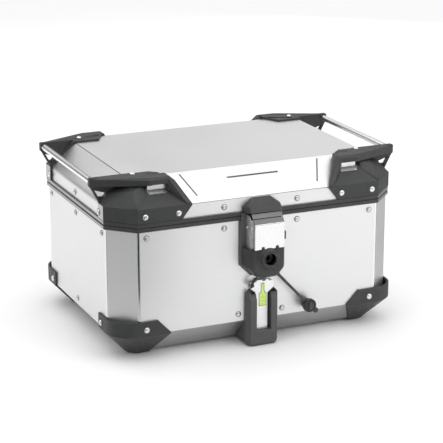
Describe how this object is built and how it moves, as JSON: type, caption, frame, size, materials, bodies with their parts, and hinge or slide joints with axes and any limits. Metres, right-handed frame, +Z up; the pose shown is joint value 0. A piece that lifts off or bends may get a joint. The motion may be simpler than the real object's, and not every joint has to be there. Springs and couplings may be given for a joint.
{
  "type": "motorcycle top case",
  "caption": "Riveted aluminium top case with a hinged lid, moulded corner guards, tube rails, a front latch lever with lock, and a rack release.",
  "frame": {"origin": "centre of the rack face under the case, level with the feet", "axes": "+X to the right seen from the lock side, -Y towards the lock, +Y towards the lid's hinges, +Z up"},
  "size_m": [0.587, 0.4519, 0.3234],
  "materials": {
    "aluminium_panel": "brushed, anodised",
    "dark_moulding": "fine moulded texture",
    "rim_profile": "satin",
    "black_rubber": "matte",
    "rail_tube": "polished tube",
    "bright_plating": "satin plated",
    "plain_steel": "zinc plated",
    "lime_insert": "translucent gloss"
  },
  "bodies": {
    "case": {"base_plate": "dark_moulding", "corner_guard_front_left": "dark_moulding", "corner_guard_front_right": "dark_moulding", "corner_guard_rear_left": "dark_moulding", "corner_guard_rear_right": "dark_moulding", "cylinder_bezel": "black_rubber", "guard_screw_front_left": "bright_plating", "guard_screw_front_right": "bright_plating", "guard_screw_rear_left": "bright_plating", "guard_screw_rear_right": "bright_plating", "hinge_lower_leaf_left": "plain_steel", "hinge_lower_leaf_right": "plain_steel", "hinge_pin_left": "plain_steel", "hinge_pin_right": "plain_steel", "lever_bracket": "plain_steel", "lever_pin_left": "bright_plating", "lever_pin_right": "bright_plating", "lock_backplate": "dark_moulding", "lock_body": "dark_moulding", "lock_inner_plate": "plain_steel", "lower_rim": "rim_profile", "lower_shell": "aluminium_panel", "release_housing": "dark_moulding", "rim_seal": "black_rubber", "strap_anchor": "black_rubber"},
    "lid": {"lid_shell": "aluminium_panel", "upper_rim": "rim_profile", "striker_cover": "dark_moulding", "striker_plate": "plain_steel", "bracket_front_left": "dark_moulding", "bracket_front_right": "dark_moulding", "bracket_rear_left": "dark_moulding", "bracket_rear_right": "dark_moulding", "bracket_screw_inner_front_left": "bright_plating", "bracket_screw_inner_front_right": "bright_plating", "bracket_screw_inner_rear_left": "bright_plating", "bracket_screw_inner_rear_right": "bright_plating", "bracket_screw_outer_front_left": "bright_plating", "bracket_screw_outer_front_right": "bright_plating", "bracket_screw_outer_rear_left": "bright_plating", "bracket_screw_outer_rear_right": "bright_plating", "bracket_screw_top_front_left": "bright_plating", "bracket_screw_top_front_right": "bright_plating", "bracket_screw_top_rear_left": "bright_plating", "bracket_screw_top_rear_right": "bright_plating", "hinge_upper_leaf_left": "plain_steel", "hinge_upper_leaf_right": "plain_steel", "rail_left": "rail_tube", "rail_right": "rail_tube"},
    "lever": {"latch_lever": "bright_plating", "latch_claw": "plain_steel", "lever_side_tab": "black_rubber"},
    "key": {"key_cylinder": "plain_steel", "lock_cam": "plain_steel"},
    "cap": {"cap_strap": "black_rubber", "dust_cap": "black_rubber"},
    "slider": {"release_slider": "bright_plating", "slider_insert": "lime_insert"},
    "catch": {"rack_catch": "plain_steel"}
  },
  "joints": [
    {"name": "lid_open", "type": "hinge", "parent": "case", "child": "lid", "pos_m": [0, 0.2052, 0.241], "axis": [-1, 0, 0], "range_deg": [0, 90]},
    {"name": "lever_open", "type": "hinge", "parent": "case", "child": "lever", "pos_m": [0, -0.2195, 0.222], "axis": [-1, 0, 0], "range_deg": [0, 85]},
    {"name": "key_turn", "type": "hinge", "parent": "case", "child": "key", "pos_m": [-0.001, -0.241, 0.169], "axis": [0, 1, 0], "range_deg": [0, 90]},
    {"name": "cap_swing", "type": "hinge", "parent": "case", "child": "cap", "pos_m": [0.024, -0.214, 0.133], "axis": [0, 1, 0], "range_deg": [-25, 22], "stiffness_Nm_per_rad": 0.3},
    {"name": "release_lift", "type": "slide", "parent": "case", "child": "slider", "axis": [0, 0, 1], "range_m": [0, 0.008], "stiffness_N_per_m": 300, "springref_m": -0.006},
    {"name": "catch_draw", "type": "slide", "parent": "case", "child": "catch", "axis": [0, -1, 0], "range_m": [0, 0.008]}
  ],
  "couplings": [
    {"joint": "catch_draw", "follows": "release_lift", "ratio": 1}
  ]
}
